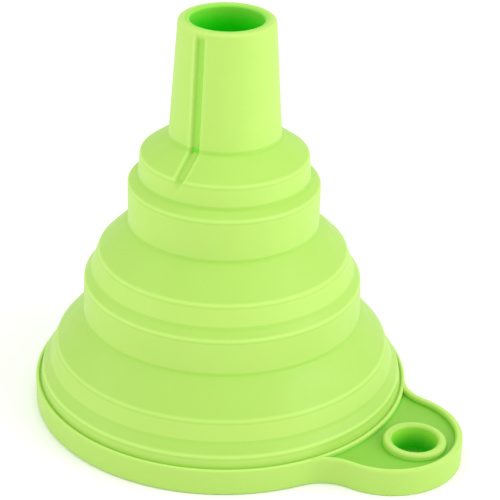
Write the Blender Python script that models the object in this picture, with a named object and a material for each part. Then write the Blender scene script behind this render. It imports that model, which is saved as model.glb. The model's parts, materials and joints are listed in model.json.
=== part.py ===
"""Collapsible silicone funnel with a narrow spout and a hang tab. Metres, +Z up.

It stands on its mouth, as it is stored: the origin is on the funnel's axis in the plane of
the mouth, the spout points up and the hang tab points to +X. The wall climbs in three tiers.
Each tier is a stiff band, a thin ledge, a stiff step ring and a thin shoulder, and the thin
zones turn inside out when the funnel is pushed flat. Every stiff ring then slides down
the Z axis, where all the objects have their origin.
"""

import math

import bpy

# Driving dimensions.
MM = 0.001
MOUTH_RADIUS = 39.0 * MM
RIM_HEIGHT = 5.7 * MM
RIM_WALL = 2.2 * MM
BAND_WALL = 1.0 * MM
WEB_WALL = 0.9 * MM
SPOUT_WALL = 2.3 * MM
EDGE = 0.5 * MM
GAP = 0.3 * MM
CUTTER_REACH = 3.0 * MM

# The groove at the foot of the wall, where the collar stands back from the rim's outside.
COLLAR_SETBACK = 1.1 * MM

# The wall from the rim up to the spout's tip: how far each zone leans in, how far it rises
# and how thick it is.
WALL_ZONES = (
    ("base_collar", 0.4 * MM, 2.1 * MM, BAND_WALL),
    ("base_ledge_web", 1.35 * MM, 1.95 * MM, WEB_WALL),
    ("base_step_ring", 1.75 * MM, 4.25 * MM, BAND_WALL),
    ("base_shoulder_web", 5.65 * MM, 6.7 * MM, WEB_WALL),
    ("middle_band", 0.25 * MM, 7.7 * MM, BAND_WALL),
    ("middle_ledge_web", 1.3 * MM, 1.65 * MM, WEB_WALL),
    ("middle_step_ring", 1.7 * MM, 4.55 * MM, BAND_WALL),
    ("middle_shoulder_web", 6.05 * MM, 6.1 * MM, WEB_WALL),
    ("upper_band", 0.0 * MM, 8.9 * MM, BAND_WALL),
    ("upper_ledge_web", 2.05 * MM, 1.4 * MM, WEB_WALL),
    ("upper_step_ring", 0.4 * MM, 4.8 * MM, BAND_WALL),
    ("upper_shoulder_web", 5.7 * MM, 4.05 * MM, WEB_WALL),
    ("spout", 1.7 * MM, 24.05 * MM, SPOUT_WALL),
)

# The vent groove, which lets air out past the spout. It faces -Y.
GROOVE_AZIMUTH = math.radians(-86.8)
GROOVE_WIDTH = 1.8 * MM
SPOUT_GROOVE_DEPTH = 0.7 * MM
WEB_GROOVE_DEPTH = 0.4 * MM
GROOVE_TO_TIP = 1.2 * MM
NOTCH_DROP = 0.8 * MM

# The hang tab: a round tray that flows into the rim, with an upstand round its hole.
TAB_CENTRE = 41.0 * MM
TAB_RADIUS = 15.1 * MM
TAB_FILLET = 9.0 * MM
TAB_LIP_WALL = 1.5 * MM
TAB_RECESS = 1.2 * MM
TAB_FLOOR = 1.6 * MM
GROMMET_CENTRE = 47.2 * MM
GROMMET_TOP = RIM_HEIGHT + 0.3 * MM
GROMMET_RADIUS = 6.35 * MM
HANG_HOLE_RADIUS = 4.65 * MM

ROUND_STEPS = 96
GROMMET_STEPS = 48
ARC_STEP = math.radians(4)

WALL_GREEN = (0.50, 0.80, 0.13)
WEB_GREEN = (0.44, 0.75, 0.10)
TRAY_GREEN = (0.24, 0.58, 0.05)


def clear_scene():
    for obj in list(bpy.data.objects):
        bpy.data.objects.remove(obj)


def silicone(name, colour):
    material = bpy.data.materials.new(name)
    material.use_nodes = True
    shader = material.node_tree.nodes["Principled BSDF"]
    shader.inputs["Base Color"].default_value = (*colour, 1)
    shader.inputs["Roughness"].default_value = 0.5
    shader.inputs["Metallic"].default_value = 0
    return material


def placed(name, points, edges, faces, colour=None):
    mesh = bpy.data.meshes.new(name)
    mesh.from_pydata(points, edges, faces)
    mesh.update()
    obj = bpy.data.objects.new(name, mesh)
    bpy.context.collection.objects.link(obj)
    if colour:
        mesh.materials.append(silicone(name, colour))
    return obj


def turned(name, section, colour=None, steps=ROUND_STEPS):
    """A ring about the Z axis. The section's points (radius, height) run down its outer side."""
    points = [(radius, 0, height) for radius, height in section]
    edges = [(i, (i + 1) % len(points)) for i in range(len(points))]
    ring = placed(name, points, edges, [], colour)
    screw = ring.modifiers.new("turn", "SCREW")
    screw.axis = "Z"
    screw.angle = 2 * math.pi
    screw.steps = steps
    screw.render_steps = steps
    screw.use_merge_vertices = True
    screw.merge_threshold = 0.000001
    return ring


def prism(name, outline, low, high, colour=None):
    """A flat outline (x, y), running anticlockwise, stood up from low to high."""
    count = len(outline)
    points = [(x, y, low) for x, y in outline] + [(x, y, high) for x, y in outline]
    sides = [(i, (i + 1) % count, (i + 1) % count + count, i + count) for i in range(count)]
    base = tuple(reversed(range(count)))
    top = tuple(range(count, 2 * count))
    return placed(name, points, [], [base, top, *sides], colour)


def cut(target, cutter):
    cutter.hide_render = True
    cutter.display_type = "WIRE"
    boolean = target.modifiers.new(cutter.name, "BOOLEAN")
    boolean.operation = "DIFFERENCE"
    boolean.solver = "EXACT"
    boolean.object = cutter


def smooth(obj, angle=math.radians(35)):
    """Smooth shading with sharp edges, added last so that it also covers what the cuts made."""
    obj.data.shade_smooth()
    obj.data.set_sharp_from_angle(angle=angle)


def arc(centre, radius, start, end):
    """Points along an arc from the angle start to the angle end, both included."""
    steps = max(2, math.ceil(abs(end - start) / ARC_STEP))
    angles = [start + (end - start) * i / steps for i in range(steps + 1)]
    return [
        (centre[0] + radius * math.cos(a), centre[1] + radius * math.sin(a)) for a in angles
    ]


# The rim and the wall ------------------------------------------------------------------------


def mouth_rim():
    bore = MOUTH_RADIUS - RIM_WALL
    section = [
        (MOUTH_RADIUS - EDGE, RIM_HEIGHT),
        (MOUTH_RADIUS, RIM_HEIGHT - EDGE),
        (MOUTH_RADIUS, EDGE),
        (MOUTH_RADIUS - EDGE, 0),
        (bore, 0),
        (bore, RIM_HEIGHT),
    ]
    return turned("mouth_rim", section, WALL_GREEN)


def zone_ends():
    """For each zone of the wall: its name, (radius, height) at foot and top, and its thickness."""
    radius = MOUTH_RADIUS - COLLAR_SETBACK
    height = RIM_HEIGHT
    ends = {}
    for name, lean, rise, wall in WALL_ZONES:
        ends[name] = ((radius, height), (radius - lean, height + rise), wall)
        radius -= lean
        height += rise
    return ends


def wall_zone(name, foot, top, wall):
    """A ring of the wall, cut short by half a gap at its top and foot."""
    lean = (foot[0] - top[0]) / (top[1] - foot[1])
    at_tip = name == "spout"
    top_trim = 0 if at_tip else GAP / 2
    foot_trim = GAP if name == "base_collar" else GAP / 2
    top_radius = top[0] + lean * top_trim
    foot_radius = foot[0] - lean * foot_trim
    high = top[1] - top_trim
    low = foot[1] + foot_trim
    section = [
        (top_radius, high),
        (foot_radius, low),
        (foot_radius - wall, low),
        (top_radius - wall, high),
    ]
    if at_tip:
        section[0] = (top_radius, high - EDGE)
        section.append((top_radius - EDGE, high))
    return turned(name, section, WEB_GREEN if name.endswith("web") else WALL_GREEN)


def groove_cutter(name, foot, top, sunk, proud):
    """A bar along the wall's outside from foot to top. It reaches from sunk, below the surface,
    to proud, above it, both (outwards, upwards)."""
    half = GROOVE_WIDTH / 2
    side = [
        (foot[0] - sunk[0], foot[1] - sunk[1]),
        (foot[0] + proud[0], foot[1] + proud[1]),
        (top[0] + proud[0], top[1] + proud[1]),
        (top[0] - sunk[0], top[1] - sunk[1]),
    ]
    points = [(x, -half, z) for x, z in side] + [(x, half, z) for x, z in side]
    faces = [(0, 1, 2, 3), (7, 6, 5, 4), (0, 4, 5, 1), (1, 5, 6, 2), (2, 6, 7, 3), (3, 7, 4, 0)]
    bar = placed(name, points, [], faces)
    bar.rotation_euler.z = GROOVE_AZIMUTH
    return bar


def spout_groove(spout, foot, top):
    """The groove runs down the spout and stops short of its tip."""
    share = GROOVE_TO_TIP / (top[1] - foot[1])
    end = (top[0] + (foot[0] - top[0]) * share, top[1] - GROOVE_TO_TIP)
    sunk = (SPOUT_GROOVE_DEPTH, 0)
    cut(spout, groove_cutter("spout_groove_cutter", foot, end, sunk, (CUTTER_REACH, 0)))


def shoulder_groove(shoulder, foot, top):
    """The groove crosses the shoulder from its outer edge to the spout's foot."""
    sunk = (0, WEB_GROOVE_DEPTH)
    cut(shoulder, groove_cutter("shoulder_groove_cutter", foot, top, sunk, (0, CUTTER_REACH)))


def step_notch(ring, top):
    """The groove ends in a shallow notch in the step ring's top edge."""
    foot = (top[0], top[1] - NOTCH_DROP)
    above = (top[0], top[1] + NOTCH_DROP)
    sunk = (WEB_GROOVE_DEPTH, 0)
    cut(ring, groove_cutter("step_notch_cutter", foot, above, sunk, (CUTTER_REACH, 0)))


def funnel_wall():
    ends = zone_ends()
    rings = {name: wall_zone(name, *ends[name]) for name in ends}
    spout_groove(rings["spout"], *ends["spout"][:2])
    shoulder_groove(rings["upper_shoulder_web"], *ends["upper_shoulder_web"][:2])
    step_notch(rings["upper_step_ring"], ends["upper_step_ring"][1])
    return list(rings.values())


# The hang tab --------------------------------------------------------------------------------


def tab_outline(inset):
    """The tray's round outline and the fillets that carry it into the rim, moved in by inset."""
    to_rim = MOUTH_RADIUS + TAB_FILLET
    to_tab = TAB_RADIUS + TAB_FILLET
    x = (TAB_CENTRE**2 + to_rim**2 - to_tab**2) / (2 * TAB_CENTRE)
    y = math.sqrt(to_rim**2 - x**2)
    at_rim = math.atan2(y, x)
    at_tab = math.atan2(y, x - TAB_CENTRE)
    fillet = TAB_FILLET + inset
    front = arc((x, -y), fillet, math.pi - at_rim, math.pi - at_tab)
    tray = arc((TAB_CENTRE, 0), TAB_RADIUS - inset, -at_tab, at_tab)
    back = arc((x, y), fillet, at_tab - math.pi, at_rim - math.pi)
    return front + tray[1:-1] + back


def rim_clearance():
    """The space of the rim and the gap round it, which the tab's pieces stay out of."""
    radius = MOUTH_RADIUS + GAP
    circle = arc((0, 0), radius, 0, 2 * math.pi)[:-1]
    return prism("rim_clearance_cutter", circle, -RIM_HEIGHT, 2 * RIM_HEIGHT)


def hang_tab_lip(rim_space):
    lip = prism("hang_tab_lip", tab_outline(0), 0, RIM_HEIGHT, WALL_GREEN)
    inside = tab_outline(TAB_LIP_WALL)
    cut(lip, prism("tab_inside_cutter", inside, -RIM_HEIGHT, 2 * RIM_HEIGHT))
    cut(lip, rim_space)
    return lip


def hang_tab_floor(rim_space):
    high = RIM_HEIGHT - TAB_RECESS
    outline = tab_outline(TAB_LIP_WALL + GAP)
    floor = prism("hang_tab_floor", outline, high - TAB_FLOOR, high, TRAY_GREEN)
    cut(floor, rim_space)
    hole = arc((GROMMET_CENTRE, 0), GROMMET_RADIUS + GAP, 0, 2 * math.pi)[:-1]
    cut(floor, prism("grommet_hole_cutter", hole, -RIM_HEIGHT, 2 * RIM_HEIGHT))
    return floor


def hang_tab_grommet():
    """The upstand round the hanging hole, from the tab's underside to just above its lip."""
    section = [
        (GROMMET_RADIUS, GROMMET_TOP),
        (GROMMET_RADIUS, 0),
        (HANG_HOLE_RADIUS, 0),
        (HANG_HOLE_RADIUS, GROMMET_TOP),
    ]
    grommet = turned("hang_tab_grommet", section, WALL_GREEN, steps=GROMMET_STEPS)
    grommet.location.x = GROMMET_CENTRE
    return grommet


def hang_tab():
    rim_space = rim_clearance()
    return [hang_tab_lip(rim_space), hang_tab_floor(rim_space), hang_tab_grommet()]


clear_scene()
for piece in [mouth_rim(), *funnel_wall(), *hang_tab()]:
    smooth(piece)
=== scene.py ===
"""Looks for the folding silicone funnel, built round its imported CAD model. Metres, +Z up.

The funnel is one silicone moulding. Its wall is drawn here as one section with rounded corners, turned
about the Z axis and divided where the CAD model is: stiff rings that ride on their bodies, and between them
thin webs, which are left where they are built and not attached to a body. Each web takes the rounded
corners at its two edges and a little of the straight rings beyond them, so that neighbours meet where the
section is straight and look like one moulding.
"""

import json
import math

import bmesh
import bpy
import numpy as np
from mathutils import Matrix, Vector


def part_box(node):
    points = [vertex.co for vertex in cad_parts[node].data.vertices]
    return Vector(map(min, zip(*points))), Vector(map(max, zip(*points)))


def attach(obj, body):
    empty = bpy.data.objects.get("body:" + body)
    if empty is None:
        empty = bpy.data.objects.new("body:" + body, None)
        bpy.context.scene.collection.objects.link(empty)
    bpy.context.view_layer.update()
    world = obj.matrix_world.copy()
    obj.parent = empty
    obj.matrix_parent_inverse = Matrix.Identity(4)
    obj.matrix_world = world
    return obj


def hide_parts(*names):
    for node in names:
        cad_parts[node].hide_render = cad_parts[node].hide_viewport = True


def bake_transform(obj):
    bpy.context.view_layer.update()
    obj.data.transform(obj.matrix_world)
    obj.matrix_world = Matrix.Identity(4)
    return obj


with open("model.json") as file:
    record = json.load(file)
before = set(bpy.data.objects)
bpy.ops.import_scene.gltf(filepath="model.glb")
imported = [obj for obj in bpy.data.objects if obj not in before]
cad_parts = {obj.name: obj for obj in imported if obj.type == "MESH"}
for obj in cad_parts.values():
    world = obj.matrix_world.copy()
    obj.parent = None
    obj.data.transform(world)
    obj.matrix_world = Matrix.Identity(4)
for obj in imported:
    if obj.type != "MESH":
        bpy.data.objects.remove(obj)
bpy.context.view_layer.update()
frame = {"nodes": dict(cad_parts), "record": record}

MM = 0.001

# The wall's nodes, from the rim up to the spout.
ZONES = (
    "base_collar",
    "base_ledge_web",
    "base_step_ring",
    "base_shoulder_web",
    "middle_band",
    "middle_ledge_web",
    "middle_step_ring",
    "middle_shoulder_web",
    "upper_band",
    "upper_ledge_web",
    "upper_step_ring",
    "upper_shoulder_web",
    "spout",
)
WALL = 0.95 * MM
CREST_RADIUS = 0.6 * MM
CREASE_RADIUS = 0.5 * MM
SEAM = 0.7 * MM
RING_STEP = 0.6 * MM
WEB_STEP = 0.25 * MM
FORM_STEP = 1.0 * MM
ARC_STEP = math.radians(12)
TURN_STEPS = 144
SHARP_ANGLE = math.radians(40)
SAME_LEVEL = 0.01 * MM

# The rim that the funnel stands on, and the groove between it and the collar.
RIM_FOOT_RADIUS = 0.6 * MM
RIM_GROOVE_DEPTH = 0.35 * MM
RIM_GROOVE_WIDTH = 0.2 * MM
RIM_WALL = 2.2 * MM
RIM_LIP_ROUND = 0.48

# The spout's tip and bore.
SPOUT_WALL = 2.3 * MM
TIP_RADIUS = 0.8 * MM
TIP_CHAMFER = 0.5 * MM
BORE_EDGE_RADIUS = 0.5 * MM
BORE_FLARE = 1.6 * MM

# The vent groove down the spout and across the upper shoulder.
GROOVE_AZIMUTH = math.radians(-86.8)
GROOVE_HALF = 0.85 * MM
GROOVE_SOFT = 0.35 * MM
GROOVE_DEPTH = 0.65 * MM
GROOVE_TO_TIP = 1.1 * MM
GROOVE_FADE = 0.5 * MM
NOTCH_DROP = 2.4 * MM
NOTCH_END = 0.001
LIP_RISE = 0.16 * MM
LIP_SPREAD = 0.42 * MM
RIGHT_LIP_SHARE = 0.6
GROOVE_SECTOR = math.radians(15)
SECTOR_MARGIN = 1.05
GROOVE_STEPS = 60
# Painted highlight on the groove's lips and painted shade in its hollow.
LIP_PAINTED_HIGHLIGHT = 0.8
HOLLOW_PAINTED_SHADE = 1.2
GROOVED_ZONES = ("upper_step_ring", "upper_shoulder_web", "spout")

# The hang tab.
TAB_RADIUS = 15.1 * MM
TAB_FILLET = 9.0 * MM
TAB_LIP_WALL = 1.5 * MM
TAB_LIP_TOP = 0.6 * MM
TAB_LIP_FOOT = 0.35 * MM
FLOOR_FILLET = 0.4 * MM
FLOOR_EMBED = 0.3 * MM
GROMMET_ROUND = 0.6 * MM
HANG_HOLE_RADIUS = 4.65 * MM
HOLE_DRAFT = 0.6 * MM
FILLET_STEPS = 14
TAB_STEPS = 60
RIM_ARC_STEPS = 40

# How far the painted highlight on crests and the painted shade in creases spread over the surface, and
# the turn at which a corner has all of its painted tone.
EDGE_SPREAD = 0.4 * MM
FULL_TURN = math.radians(25)

# How far below a bore's top its painted shade grows deeper, and how strong that painted shade is on
# the crest and crease scale. The usual green returns over FOOT_SHADE above the foot.
BORE_SHADE = (-5.0 * MM, 5.0 * MM)
HOLE_SHADE = (-1.2 * MM, 5.0 * MM)
FOOT_SHADE = 0.5 * MM
DEEPEST = 3.0

# A setback inside the corner at a web's foot, handed to fold() as its start.
FOLD_SETBACK = 0.4 * MM

# The floor, a little below the funnel's foot.
FLOOR_HALF = 3.0
FLOOR_DROP = 0.02 * MM

# The camera, in degrees and metres.
CAMERA_AZIMUTH = 34.5
CAMERA_OUT = 0.3229
CAMERA_HEIGHT = 0.2000
CAMERA_TILT = 27.24
CAMERA_TURN = 0.982
CAMERA_ROLL = 1.551
CAMERA_LENS = 127.4


# The section --------------------------------------------------------------------------------------


def outer_edge(node, pick):
    """(radius, height) of a turned node's outer edge at its foot (pick is min) or top (pick is max)."""
    points = [vertex.co for vertex in frame["nodes"][node].data.vertices]
    height = pick(point.z for point in points)
    level = [point for point in points if abs(point.z - height) < SAME_LEVEL]
    return max(math.hypot(point.x, point.y) for point in level), height


def outer_radius(node, height):
    """The radius of a turned node's straight outside, carried on to this height."""
    foot = outer_edge(node, min)
    top = outer_edge(node, max)
    return foot[0] + (top[0] - foot[0]) * (height - foot[1]) / (top[1] - foot[1])


def wall_corners():
    """The section's outer corners, (radius, height) from the collar's foot to the spout's tip."""
    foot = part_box("mouth_rim")[1].z
    corners = [(outer_radius(ZONES[0], foot), foot)]
    for below, above in zip(ZONES, ZONES[1:]):
        height = (outer_edge(below, max)[1] + outer_edge(above, min)[1]) / 2
        corners.append(((outer_radius(below, height) + outer_radius(above, height)) / 2, height))
    tip = outer_edge("spout", max)
    return [*corners, (tip[0] + TIP_CHAMFER, tip[1])]


RIM_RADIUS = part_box("mouth_rim")[1].x
RIM_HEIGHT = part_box("mouth_rim")[1].z
RIM_BORE = RIM_RADIUS - RIM_WALL
GROOVE_FLOOR = RIM_HEIGHT - RIM_GROOVE_DEPTH
CORNERS = wall_corners()
COLLAR_FOOT = (outer_radius(ZONES[0], GROOVE_FLOOR), GROOVE_FLOOR)


def toward(start, end, distance):
    """The point at this distance from start on the way to end."""
    share = distance / math.dist(start, end)
    return tuple(a + (b - a) * share for a, b in zip(start, end))


def fillet(before, corner, after, radius):
    """Points along the arc that rounds a corner between its neighbours."""
    into = np.subtract(corner, before) / math.dist(corner, before)
    out = np.subtract(after, corner) / math.dist(after, corner)
    turn = math.atan2(into[0] * out[1] - into[1] * out[0], into @ out)
    reach = radius * math.tan(abs(turn) / 2)
    start = np.subtract(corner, into * reach)
    side = np.array([-into[1], into[0]]) * math.copysign(radius, turn)
    steps = max(3, math.ceil(abs(turn) / ARC_STEP))
    points = []
    for step in range(steps + 1):
        angle = turn * step / steps
        spoke = (math.cos(angle) * side[0] - math.sin(angle) * side[1],
                 math.sin(angle) * side[0] + math.cos(angle) * side[1])
        points.append((start[0] + side[0] - spoke[0], start[1] + side[1] - spoke[1]))
    return points


def rounded(corners, radii, closed=False):
    """A line through these corners, each rounded by its radius. An open line keeps its ends."""
    count = len(corners)
    points = []
    for i, (corner, radius) in enumerate(zip(corners, radii)):
        at_end = not closed and i in (0, count - 1)
        if at_end or radius == 0:
            points.append(corner)
        else:
            points += fillet(corners[i - 1], corner, corners[(i + 1) % count], radius)
    return points


def divided(points, step):
    """The same line with more points, none further apart than step."""
    line = [points[0]]
    for start, end in zip(points, points[1:]):
        pieces = max(1, math.ceil(math.dist(start, end) / step))
        length = math.dist(start, end)
        line += [toward(start, end, length * i / pieces) for i in range(1, pieces + 1)]
    return line


def walled(outer, wall=WALL):
    """A closed section: up the outside and back down the inside."""
    return outer + [(radius - wall, height) for radius, height in reversed(outer)]


def corner_signs():
    """For each corner of the wall, 1 if it stands out as a crest and -1 if it goes in as a crease.
    Blunt corners count for less."""
    signs = [-1]
    for before, corner, after in zip(CORNERS, CORNERS[1:], CORNERS[2:]):
        into = np.subtract(corner, before)
        out = np.subtract(after, corner)
        turn = math.atan2(into[0] * out[1] - into[1] * out[0], float(into @ out))
        signs.append(max(-1.0, min(1.0, turn / FULL_TURN)))
    return [*signs, 1]


CORNER_SIGNS = corner_signs()


def painted_light(section, corners=CORNERS, signs=CORNER_SIGNS):
    """Painted highlight (up to 1, on a crest) or painted shade (down to -1, in a crease) at each point."""
    painted_lights = []
    for point in section:
        away = [math.dist(point, corner) / EDGE_SPREAD for corner in corners]
        painted_lights.append(sum(sign * math.exp(-(far**2)) for sign, far in zip(signs, away)))
    return painted_lights


def with_painted_bore_shade(painted_lights, heights, shade):
    """These tones, taken down by DEEPEST as painted shade from the top of a bore on. They return at its
    foot.
    """
    from_top = smoothstep(np.max(heights) - heights, *shade)
    from_foot = smoothstep(heights - np.min(heights), 0, FOOT_SHADE)
    return painted_lights - DEEPEST * from_top * from_foot


# Meshes -------------------------------------------------------------------------------------------


def closed_mesh(name, rows, painted_lights, material, capped=False):
    """One closed body from a grid of points. The first index runs round a closed section. The second
    runs along the sweep, which closes on itself or, if capped, ends in two flat caps."""
    rows = np.asarray(rows, float)
    count, along = rows.shape[:2]
    last = along - 1 if capped else along
    faces = []
    for i in range(count):
        below = i * along
        above = (i + 1) % count * along
        for j in range(last):
            after = (j + 1) % along
            faces.append((below + j, below + after, above + after, above + j))
    if capped:
        faces += [tuple(i * along + end for i in range(count)) for end in (0, along - 1)]
    mesh = bpy.data.meshes.new(name)
    mesh.from_pydata(rows.reshape(-1, 3).tolist(), [], faces)
    work = bmesh.new()
    work.from_mesh(mesh)
    bmesh.ops.recalc_face_normals(work, faces=work.faces)
    work.to_mesh(mesh)
    work.free()
    mesh.shade_smooth()
    mesh.set_sharp_from_angle(angle=SHARP_ANGLE)
    # The per-point tone is painted light: painted highlight on crests, painted shade in creases and bores.
    tones = np.broadcast_to(np.asarray(painted_lights, float).reshape(count, -1), (count, along))
    tone = mesh.attributes.new("painted_light", "FLOAT", "POINT")
    tone.data.foreach_set("value", tones.ravel().astype(np.float32))
    mesh.materials.append(material)
    obj = bpy.data.objects.new(name, mesh)
    bpy.context.scene.collection.objects.link(obj)
    return obj


def even_turn():
    return np.arange(TURN_STEPS) * 2 * math.pi / TURN_STEPS


def turn_with_groove():
    """Even steps round the axis, with fine ones across the vent groove."""
    away = np.remainder(even_turn() - GROOVE_AZIMUTH + math.pi, 2 * math.pi) - math.pi
    fine = np.linspace(-GROOVE_SECTOR, GROOVE_SECTOR, GROOVE_STEPS + 1)
    return GROOVE_AZIMUTH + np.sort([*away[abs(away) > GROOVE_SECTOR * SECTOR_MARGIN], *fine])


def turned(name, section, painted_lights, material, turn=None, centre=0.0):
    """A closed section, (radius, height) points, turned about the vertical axis at x = centre."""
    angles = even_turn() if turn is None else turn
    radius, height = np.array(section).T
    x = centre + np.outer(radius, np.cos(angles))
    y = np.outer(radius, np.sin(angles))
    z = np.outer(height, np.ones(len(angles)))
    return closed_mesh(name, np.stack([x, y, z], axis=2), painted_lights, material)


def smoothstep(value, start, end):
    share = np.clip((value - start) / (end - start), 0, 1)
    return share * share * (3 - 2 * share)


def outward_normals(outline):
    """The unit normals of a line that runs up the outside of a section, as rows."""
    along = np.gradient(np.array(outline), axis=0)
    outward = np.stack([along[:, 1], -along[:, 0]], axis=1)
    return outward / np.linalg.norm(outward, axis=1)[:, None]


def groove_shape(radius, height, angles):
    """(hollow, lips) of the vent groove over the wall's outside, each 0 to 1."""
    aside = radius * np.sin(angles - GROOVE_AZIMUTH)
    facing = np.cos(angles - GROOVE_AZIMUTH) > 0
    notch = CORNERS[ZONES.index("upper_shoulder_web")][1]
    tip = CORNERS[-1][1] - GROOVE_TO_TIP
    reach = facing * (1 - smoothstep(height, tip - GROOVE_FADE, tip))
    share = np.clip((height - notch + NOTCH_DROP) / NOTCH_DROP, NOTCH_END, 1)
    half = GROOVE_HALF * share
    hollow = share * reach * (1 - smoothstep(abs(aside), half - GROOVE_SOFT, half + GROOVE_SOFT))
    ridge = GROOVE_HALF + LIP_SPREAD
    left = np.exp(-(((aside + ridge) / LIP_SPREAD) ** 2))
    right = RIGHT_LIP_SHARE * np.exp(-(((aside - ridge) / LIP_SPREAD) ** 2))
    lips = reach * (left + right) * smoothstep(height, notch - GROOVE_FADE, notch + GROOVE_FADE)
    return hollow, lips


def grooved(section, outside, angles):
    """(rows, tones) of a turned section with the vent groove pressed into its outside, which is the
    section's first points, and a soft lip on both sides of the groove, with painted highlight on the lips
    and painted shade in the groove."""
    every = np.ones(len(angles))
    radius = np.outer([point[0] for point in section], every)
    height = np.outer([point[1] for point in section], every)
    painted_lights = np.outer(painted_light(section), every)
    outward = outward_normals(section[:outside])
    hollow, lips = groove_shape(radius[:outside], height[:outside], angles)
    push = lips * LIP_RISE - hollow * GROOVE_DEPTH
    radius[:outside] += push * outward[:, :1]
    height[:outside] += push * outward[:, 1:]
    # Painted highlight on the lips and painted shade in the hollow.
    painted_lights[:outside] += LIP_PAINTED_HIGHLIGHT * lips - HOLLOW_PAINTED_SHADE * hollow
    rows = np.stack([radius * np.cos(angles), radius * np.sin(angles), height], axis=2)
    return rows, painted_lights


# Materials ----------------------------------------------------------------------------------------


# Painted shade: the deep greens painted inside the spout's bore and the hang hole.
BORE_PAINTED_SHADE = (0.012, 0.800, 0.003)
HOLE_PAINTED_SHADE = (0.010, 0.440, 0.003)

# The silicone's mottling, gloss and grain. The noises work on metres. The first number below is the
# tone of a painted shade at the mouth, which fades out by the second.
MOUTH_PAINTED_SHADE = 0.90
MOUTH_PAINTED_SHADE_HEIGHT = 55 * MM
MOTTLE_TONE = 0.96
MOTTLE_SCALE = 70
ROUGH_SCALE = 300
GRAIN_SCALE = 2600
NOISE_SPAN = (0.3, 0.7)
ROUGH_SPAN = (0.42, 0.56)
SPECULAR = 0.35
GRAIN_STRENGTH = 0.12
GRAIN_DEPTH = 0.05 * MM


def add_noise(tree, place, scale, detail):
    texture = tree.nodes.new("ShaderNodeTexNoise")
    texture.inputs["Scale"].default_value = scale
    texture.inputs["Detail"].default_value = detail
    tree.links.new(place, texture.inputs["Vector"])
    return texture.outputs["Fac"]


def add_range(tree, value, span, result):
    """The value, carried from the span (low, high) over to the result (low, high)."""
    node = tree.nodes.new("ShaderNodeMapRange")
    node.inputs["From Min"].default_value = span[0]
    node.inputs["From Max"].default_value = span[1]
    node.inputs["To Min"].default_value = result[0]
    node.inputs["To Max"].default_value = result[1]
    tree.links.new(value, node.inputs["Value"])
    return node.outputs["Result"]


def add_mix(tree, share, first, second):
    """A mix of two colours, each a constant or the output of another node."""
    node = tree.nodes.new("ShaderNodeMix")
    node.data_type = "RGBA"
    tree.links.new(share, node.inputs["Factor"])
    for name, value in (("A", first), ("B", second)):
        socket = next(s for s in node.inputs if s.name == name and s.type == "RGBA")
        if isinstance(value, tuple):
            socket.default_value = (*value, 1)
        else:
            tree.links.new(value, socket)
    return next(s for s in node.outputs if s.type == "RGBA")


def times(colour, factor):
    return tuple(factor * channel for channel in colour)


def add_green(tree, place, painted_light_value, colour, crest, crease, bore):
    """The base colour: mottled, deeper near the mouth as painted shade, paler on crests as a painted
    highlight, and deeper in creases and bores as painted shade.
    """
    parts = tree.nodes.new("ShaderNodeSeparateXYZ")
    tree.links.new(place, parts.inputs["Vector"])
    spots = add_range(tree, add_noise(tree, place, MOTTLE_SCALE, 3), NOISE_SPAN, (0, 1))
    mottled = add_mix(tree, spots, colour, times(colour, MOTTLE_TONE))
    # Painted shade, darker towards the mouth.
    lowness = add_range(tree, parts.outputs["Z"], (MOUTH_PAINTED_SHADE_HEIGHT, 0), (0, 1))
    toned = add_mix(tree, lowness, mottled, times(colour, MOUTH_PAINTED_SHADE))
    # Painted highlight on crests, then painted shade in creases.
    with_crest = add_mix(tree, add_range(tree, painted_light_value, (0.05, 1), (0, 1)), toned, crest)
    in_crease = add_range(tree, painted_light_value, (-0.05, -1), (0, 1))
    with_crease = add_mix(tree, in_crease, with_crest, crease)
    # Painted shade inside the bores.
    in_painted_bore_shade = add_range(tree, painted_light_value, (-1, -DEEPEST), (0, 1))
    return add_mix(tree, in_painted_bore_shade, with_crease, bore)


def add_grain(tree, place):
    grain = tree.nodes.new("ShaderNodeBump")
    grain.inputs["Strength"].default_value = GRAIN_STRENGTH
    grain.inputs["Distance"].default_value = GRAIN_DEPTH
    tree.links.new(add_noise(tree, place, GRAIN_SCALE, 2), grain.inputs["Height"])
    return grain.outputs["Normal"]


def silicone(name, colour, crest, crease, bore=BORE_PAINTED_SHADE):
    """Matt moulded silicone with a fine moulded grain, plus painted highlight and shade read per point."""
    material = bpy.data.materials.new(name)
    material.use_nodes = True
    tree = material.node_tree
    shader = tree.nodes["Principled BSDF"]
    shader.inputs["Sheen Weight"].default_value = 0.05
    shader.inputs["Sheen Roughness"].default_value = 0.5
    shader.inputs["Sheen Tint"].default_value = (0.85, 1.0, 0.6, 1)
    place = tree.nodes.new("ShaderNodeTexCoord").outputs["Object"]
    # The per-point painted highlight and painted shade from the mesh.
    attribute = tree.nodes.new("ShaderNodeAttribute")
    attribute.attribute_name = "painted_light"
    painted_light_value = attribute.outputs["Fac"]
    green = add_green(tree, place, painted_light_value, colour, crest, crease, bore)
    # The gloss goes out where the bores' painted shade is deepest.
    gloss = add_range(tree, painted_light_value, (-1, -DEEPEST), (SPECULAR, 0))
    rough = add_range(tree, add_noise(tree, place, ROUGH_SCALE, 4), NOISE_SPAN, ROUGH_SPAN)
    tree.links.new(green, shader.inputs["Base Color"])
    tree.links.new(gloss, shader.inputs["Specular IOR Level"])
    tree.links.new(rough, shader.inputs["Roughness"])
    tree.links.new(add_grain(tree, place), shader.inputs["Normal"])
    return material


def wall_silicone():
    # Colour, then the painted highlight on crests, then the painted shade in creases.
    return silicone("wall_silicone", (0.450, 0.710, 0.125), (0.490, 0.760, 0.155), (0.365, 0.655, 0.080))


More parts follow.
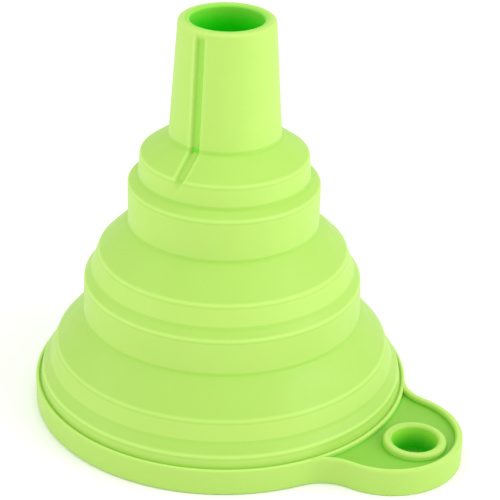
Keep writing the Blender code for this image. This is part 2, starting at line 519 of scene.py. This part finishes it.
def grommet_silicone_painted_shade():
    """The hang hole is wider open to the light than the spout's bore, so its painted shade is deeper."""
    # Painted highlight on crests and painted shade in creases; the base is a touch darker than the wall's.
    crest = (0.480, 0.750, 0.150)
    crease = (0.250, 0.680, 0.030)
    return silicone("grommet_silicone_painted_shade", (0.430, 0.700, 0.115), crest, crease, bore=HOLE_PAINTED_SHADE)


def web_silicone_painted_shade():
    # A darker copy of the wall's green: painted shade on the webs.
    return silicone("web_silicone_painted_shade", (0.398, 0.658, 0.102), (0.470, 0.740, 0.145), (0.340, 0.625, 0.072))


def tray_silicone_painted_shade():
    # A darker copy of the wall's green: painted shade on the tray's floor, deeper still in its creases.
    return silicone("tray_silicone_painted_shade", (0.325, 0.610, 0.072), (0.400, 0.680, 0.100), (0.120, 0.500, 0.008))


# The wall's pieces --------------------------------------------------------------------------------


def corner_at(zone, top):
    """The corner at a zone's foot or top. The collar's foot is sunk in the rim's groove."""
    index = ZONES.index(zone) + (1 if top else 0)
    return CORNERS[index] if index else COLLAR_FOOT


def ring_section(zone):
    """A stiff ring's straight run between its two seams."""
    foot = corner_at(zone, top=False)
    top = corner_at(zone, top=True)
    start = foot if zone == ZONES[0] else toward(foot, top, SEAM)
    outer = divided([start, toward(top, foot, SEAM)], RING_STEP)
    return walled(outer), len(outer)


def web_section(zone):
    """A thin web with the rounded corners at its edges and the ends of the rings beyond them."""
    index = ZONES.index(zone)
    foot = CORNERS[index]
    top = CORNERS[index + 1]
    below = toward(foot, corner_at(ZONES[index - 1], top=False), SEAM)
    above = toward(top, CORNERS[index + 2], SEAM)
    line = rounded([below, foot, top, above], [0, CREST_RADIUS, CREASE_RADIUS, 0])
    outer = divided(line, WEB_STEP)
    return walled(outer), len(outer)


def spout_section():
    """The spout's outside up to the middle of its tip, then its bore down to a flare at the foot."""
    foot, tip = CORNERS[-2:]
    seam = toward(foot, tip, SEAM)
    middle = (tip[0] - SPOUT_WALL / 2, tip[1])
    bore_top = (tip[0] - SPOUT_WALL, tip[1])
    bore_foot = (foot[0] - SPOUT_WALL, seam[1] + BORE_FLARE)
    outer = divided(rounded([seam, tip, middle], [0, TIP_RADIUS, 0]), RING_STEP)
    bore = [middle, bore_top, bore_foot, (seam[0] - WALL, seam[1])]
    inner = divided(rounded(bore, [0, BORE_EDGE_RADIUS, BORE_FLARE / 2, 0]), RING_STEP)
    return outer + inner[1:], len(outer)


def wall_piece(zone, section, outside, material):
    name = zone + "_skin"
    if zone in GROOVED_ZONES:
        rows, painted_lights = grooved(section, outside, turn_with_groove())
        if zone == "spout":
            # Painted shade down the spout's bore.
            painted_lights[outside:] = with_painted_bore_shade(painted_lights[outside:], rows[outside:, :, 2], BORE_SHADE)
        piece = closed_mesh(name, rows, painted_lights, material)
    else:
        piece = turned(name, section, painted_light(section), material)
    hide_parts(zone)
    return piece


def fold(web, outer_body, inner_body, start, end):
    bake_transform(web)


def body_of(node):
    bodies = frame["record"]["behaviour"]["bodies"]
    return next(body for body, nodes in bodies.items() if node in nodes)


def funnel_wall(wall_look, web_look):
    for index, zone in enumerate(ZONES):
        if zone.endswith("_web"):
            piece = wall_piece(zone, *web_section(zone), web_look)
            neighbours = (body_of(ZONES[index - 1]), body_of(ZONES[index + 1]))
            fold(piece, *neighbours, start=CORNERS[index][0] - FOLD_SETBACK, end=CORNERS[index + 1][0])
        else:
            section = spout_section() if zone == "spout" else ring_section(zone)
            piece = wall_piece(zone, *section, wall_look)
            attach(piece, body_of(zone))


# The rim and the hang tab, which all ride on the mouth --------------------------------------------


def on_mouth(piece, node):
    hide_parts(node)
    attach(piece, "mouth")


def mouth_rim(material):
    """The rim's ring, with a rounded lip outside the groove that the collar stands in."""
    lip_inside = COLLAR_FOOT[0] + RIM_GROOVE_WIDTH
    corners = [
        (RIM_RADIUS, 0),
        (RIM_RADIUS, RIM_HEIGHT),
        (lip_inside, RIM_HEIGHT),
        (lip_inside, GROOVE_FLOOR),
        (RIM_BORE, GROOVE_FLOOR),
        (RIM_BORE, 0),
    ]
    lip_radius = (RIM_RADIUS - lip_inside) * RIM_LIP_ROUND
    radii = [RIM_FOOT_RADIUS, lip_radius, lip_radius, 0, 0, RIM_FOOT_RADIUS]
    section = divided(rounded(corners, radii, closed=True), FORM_STEP)
    crest = ((RIM_RADIUS + lip_inside) / 2, RIM_HEIGHT)
    # Painted highlight on the rim's lip and painted shade in its groove.
    painted_lights = painted_light(section, [crest, (lip_inside, GROOVE_FLOOR)], [1, -1])
    rim = turned("mouth_rim_skin", section, painted_lights, material)
    on_mouth(rim, "mouth_rim")


TAB_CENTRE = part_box("hang_tab_lip")[1].x - TAB_RADIUS
GROMMET_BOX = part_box("hang_tab_grommet")
GROMMET_CENTRE = (GROMMET_BOX[0].x + GROMMET_BOX[1].x) / 2
GROMMET_RADIUS = (GROMMET_BOX[1].x - GROMMET_BOX[0].x) / 2
FLOOR_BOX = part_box("hang_tab_floor")


def fillet_centre():
    """The centre of the fillet behind the tab, which touches both the rim's circle and the tab's."""
    to_rim = RIM_RADIUS + TAB_FILLET
    to_tab = TAB_RADIUS + TAB_FILLET
    x = (TAB_CENTRE**2 + to_rim**2 - to_tab**2) / (2 * TAB_CENTRE)
    return x, math.sqrt(to_rim**2 - x**2)


def arc(centre, radius, start, end, steps):
    angles = np.linspace(start, end, steps + 1)
    return [(centre[0] + radius * math.cos(a), centre[1] + radius * math.sin(a)) for a in angles]


def tab_line(inset, rim_radius):
    """The tab's outline moved in by inset, from where its front fillet leaves the circle of rim_radius
    to where its back fillet meets it. Every such line has the same number of points."""
    x, y = fillet_centre()
    radius = TAB_FILLET + inset
    far = math.hypot(x, y)
    spread = math.acos(max(-1.0, min(1.0, (far**2 + radius**2 - rim_radius**2) / (2 * far * radius))))
    at_rim = math.atan2(y, x) - math.pi + spread
    at_tab = math.atan2(y, x - TAB_CENTRE)
    front = arc((x, -y), radius, -at_rim, math.pi - at_tab, FILLET_STEPS)
    tray = arc((TAB_CENTRE, 0), TAB_RADIUS - inset, -at_tab, at_tab, TAB_STEPS)
    back = [(px, -py) for px, py in reversed(front)]
    return front[:-1] + tray + back[1:]


def hang_tab_lip(material):
    """The tab's wall: one rounded section swept round the tab's outline, with its ends inside the rim."""
    corners = [(0, 0), (0, RIM_HEIGHT), (TAB_LIP_WALL, RIM_HEIGHT), (TAB_LIP_WALL, 0)]
    radii = [TAB_LIP_FOOT, TAB_LIP_TOP, TAB_LIP_TOP, TAB_LIP_FOOT]
    section = divided(rounded(corners, radii, closed=True), FORM_STEP)
    inner_limit = RIM_RADIUS - TAB_LIP_TOP
    rows = []
    for inset, height in section:
        line = tab_line(inset, RIM_RADIUS - inset)
        kept = []
        for x, y in line:
            out = max(1, inner_limit / math.hypot(x, y))
            kept.append((x * out, y * out, height))
        rows.append(kept)
    # Painted highlight along the top of the lip.
    crest = (TAB_LIP_WALL / 2, RIM_HEIGHT)
    lip = closed_mesh("hang_tab_lip_skin", rows, painted_light(section, [crest], [1]), material, capped=True)
    on_mouth(lip, "hang_tab_lip")


def floor_loop(inset):
    """A loop round the tray's floor, inset from the lip's inner face and from the rim's outer face."""
    rim_radius = RIM_RADIUS + inset
    line = tab_line(TAB_LIP_WALL + inset, rim_radius)
    end = math.atan2(line[-1][1], line[-1][0])
    return line + arc((0, 0), rim_radius, end, -end, RIM_ARC_STEPS)[1:-1]


def hang_tab_floor(material):
    """The tray's floor, which curves up into the lip, the rim and the grommet and down to them below."""
    low, high = FLOOR_BOX[0].z, FLOOR_BOX[1].z
    turn = np.linspace(0, math.pi / 2, 5)
    rise = [(FLOOR_FILLET * (1 - math.sin(a)), FLOOR_FILLET * (1 - math.cos(a))) for a in turn]
    edge = [(inset, high + up) for inset, up in rise] + [(-FLOOR_EMBED, high + FLOOR_FILLET)]
    edge += [(-FLOOR_EMBED, low - FLOOR_FILLET)] + [(inset, low - up) for inset, up in reversed(rise)]
    loops = {inset: floor_loop(inset) for inset, _ in edge}
    aims = [math.atan2(y, x - GROMMET_CENTRE) for x, y in loops[edge[0][0]]]
    outer = [[(x, y, z) for x, y in loops[inset]] for inset, z in edge]
    inner = []
    for inset, z in reversed(edge):
        reach = GROMMET_RADIUS + inset
        inner.append([(GROMMET_CENTRE + reach * math.cos(a), reach * math.sin(a), z) for a in aims])
    rows = outer + inner
    # Painted shade in the creases where the floor meets the lip, the rim and the grommet.
    painted_crease_shades = [-math.exp(-((inset / FLOOR_FILLET) ** 2)) for inset, _ in edge]
    tray = closed_mesh("hang_tab_floor_skin", rows, painted_crease_shades + painted_crease_shades[::-1], material)
    on_mouth(tray, "hang_tab_floor")


def hang_tab_grommet(material):
    top = GROMMET_BOX[1].z
    corners = [(GROMMET_RADIUS, 0), (GROMMET_RADIUS, top), (HANG_HOLE_RADIUS, top)]
    corners.append((HANG_HOLE_RADIUS - HOLE_DRAFT, 0))
    radii = [TAB_LIP_FOOT, GROMMET_ROUND, GROMMET_ROUND, TAB_LIP_FOOT]
    section = divided(rounded(corners, radii, closed=True), FORM_STEP)
    # Painted highlight on the grommet's top.
    crest = ((GROMMET_RADIUS + HANG_HOLE_RADIUS) / 2, top)
    painted_lights = np.array(painted_light(section, [crest], [1]))
    radius, height = np.array(section).T
    in_hole = radius < crest[0] - GROMMET_ROUND / 2
    # Painted shade down the hang hole.
    painted_lights[in_hole] = with_painted_bore_shade(painted_lights[in_hole], height[in_hole], HOLE_SHADE)
    grommet = turned("hang_tab_grommet_skin", section, painted_lights, material, centre=GROMMET_CENTRE)
    on_mouth(grommet, "hang_tab_grommet")


# The studio ---------------------------------------------------------------------------------------


def floor():
    mesh = bpy.data.meshes.new("studio_floor")
    side = FLOOR_HALF
    corners = [(-side, -side, 0), (side, -side, 0), (side, side, 0), (-side, side, 0)]
    mesh.from_pydata(corners, [], [(0, 1, 2, 3)])
    material = bpy.data.materials.new("studio_floor")
    material.use_nodes = True
    shader = material.node_tree.nodes["Principled BSDF"]
    shader.inputs["Base Color"].default_value = (0.97, 0.97, 0.97, 1)
    shader.inputs["Roughness"].default_value = 0.9
    shader.inputs["Specular IOR Level"].default_value = 0.1
    mesh.materials.append(material)
    obj = bpy.data.objects.new("studio_floor", mesh)
    obj.location.z = -FLOOR_DROP
    bpy.context.scene.collection.objects.link(obj)


def softbox(name, azimuth, elevation, distance, side, power):
    """A square light that faces the funnel. Azimuth 0 stands at -Y, and 90 at +X."""
    light = bpy.data.lights.new(name, "AREA")
    light.shape = "SQUARE"
    light.size = side
    light.energy = power
    obj = bpy.data.objects.new(name, light)
    a = math.radians(azimuth)
    e = math.radians(elevation)
    back = Vector((math.sin(a) * math.cos(e), -math.cos(a) * math.cos(e), math.sin(e)))
    obj.location = back * distance + Vector((0, 0, CORNERS[-1][1] / 2))
    obj.rotation_euler = (-back).to_track_quat("-Z", "Y").to_euler()
    bpy.context.scene.collection.objects.link(obj)


def lighting():
    world = bpy.data.worlds.new("studio")
    world.use_nodes = True
    world.node_tree.nodes["Background"].inputs["Color"].default_value = (1, 1, 1, 1)
    world.node_tree.nodes["Background"].inputs["Strength"].default_value = 0.85
    bpy.context.scene.world = world
    softbox("key", CAMERA_AZIMUTH + 70, 25, 0.7, 0.5, 2.4)
    softbox("fill", CAMERA_AZIMUTH - 75, 20, 0.8, 0.6, 1.8)
    softbox("top", CAMERA_AZIMUTH, 80, 0.7, 0.5, 0.8)
    bpy.context.scene.view_settings.view_transform = "Standard"


def camera():
    """The camera stands off by CAMERA_OUT, on the hang tab's side of the vent groove, and looks down."""
    azimuth = math.radians(CAMERA_AZIMUTH)
    tilt = math.radians(CAMERA_TILT)
    swing = math.radians(CAMERA_AZIMUTH - CAMERA_TURN)
    data = bpy.data.cameras.new("camera")
    data.sensor_width = 36
    data.lens = CAMERA_LENS
    data.clip_start = 0.01
    obj = bpy.data.objects.new("camera", data)
    ahead = Vector((-math.sin(swing) * math.cos(tilt), math.cos(swing) * math.cos(tilt), -math.sin(tilt)))
    level = ahead.cross(Vector((0, 0, 1))).normalized()
    turn = Matrix((level, level.cross(ahead), -ahead)).transposed().to_4x4()
    stand = (CAMERA_OUT * math.sin(azimuth), -CAMERA_OUT * math.cos(azimuth), CAMERA_HEIGHT)
    place = Matrix.Translation(stand)
    obj.matrix_world = place @ turn @ Matrix.Rotation(math.radians(CAMERA_ROLL), 4, "Z")
    bpy.context.scene.collection.objects.link(obj)
    bpy.context.scene.camera = obj


def funnel():
    wall_look = wall_silicone()
    funnel_wall(wall_look, web_silicone_painted_shade())
    mouth_rim(wall_look)
    hang_tab_lip(wall_look)
    hang_tab_floor(tray_silicone_painted_shade())
    hang_tab_grommet(grommet_silicone_painted_shade())


funnel()
floor()
lighting()
camera()
